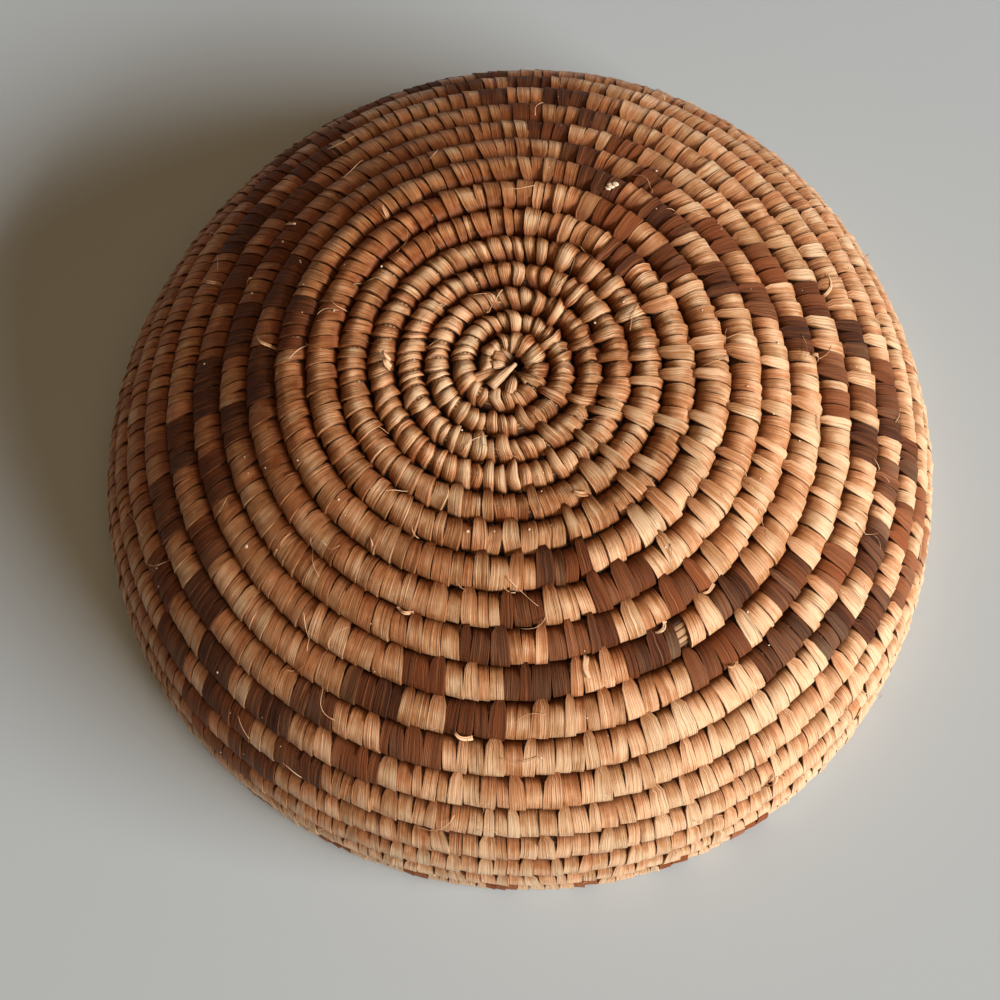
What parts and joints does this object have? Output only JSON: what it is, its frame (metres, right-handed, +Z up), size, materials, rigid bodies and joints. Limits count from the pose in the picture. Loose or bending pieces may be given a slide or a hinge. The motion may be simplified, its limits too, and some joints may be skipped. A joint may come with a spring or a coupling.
{
  "type": "coiled basket bowl",
  "caption": "Round coiled basket bowl with a flat base and a flared, upturned wall, sewn in flat leaf strips with a double zigzag of dark checks, lying mouth down.",
  "frame": {"origin": "middle of the basket's box, on the plane that its rim stands on", "axes": "+Z up: the basket lies mouth down, with its rim on z = 0 and its flat base on top; each round of the coil starts on the +X side, and the coil runs clockwise seen from above"},
  "size_m": [0.3036, 0.31, 0.0981],
  "materials": {
    "leaf_wrap": "dry split leaf, satin, with fine grooves along each strip; undyed tan, and dark brown and reddish brown in the pattern",
    "foundation_fibre": "loose dry fibre, matt",
    "start_knot": "twisted leaf ends, dry and dark"
  },
  "bodies": {
    "root": {"start_knot": "start_knot", "foundation_bundle": "foundation_fibre", "wrap_start": "leaf_wrap", "wrap_round_01": "leaf_wrap", "wrap_round_02": "leaf_wrap", "wrap_round_03": "leaf_wrap", "wrap_round_04": "leaf_wrap", "wrap_round_05": "leaf_wrap", "wrap_round_06": "leaf_wrap", "wrap_round_07": "leaf_wrap", "wrap_round_08": "leaf_wrap", "wrap_round_09": "leaf_wrap", "wrap_round_10": "leaf_wrap", "wrap_round_11": "leaf_wrap", "wrap_round_12": "leaf_wrap", "wrap_round_13": "leaf_wrap", "wrap_round_14": "leaf_wrap", "wrap_round_15": "leaf_wrap", "wrap_round_16": "leaf_wrap", "wrap_round_17": "leaf_wrap", "wrap_rim": "leaf_wrap"}
  },
  "joints": []
}
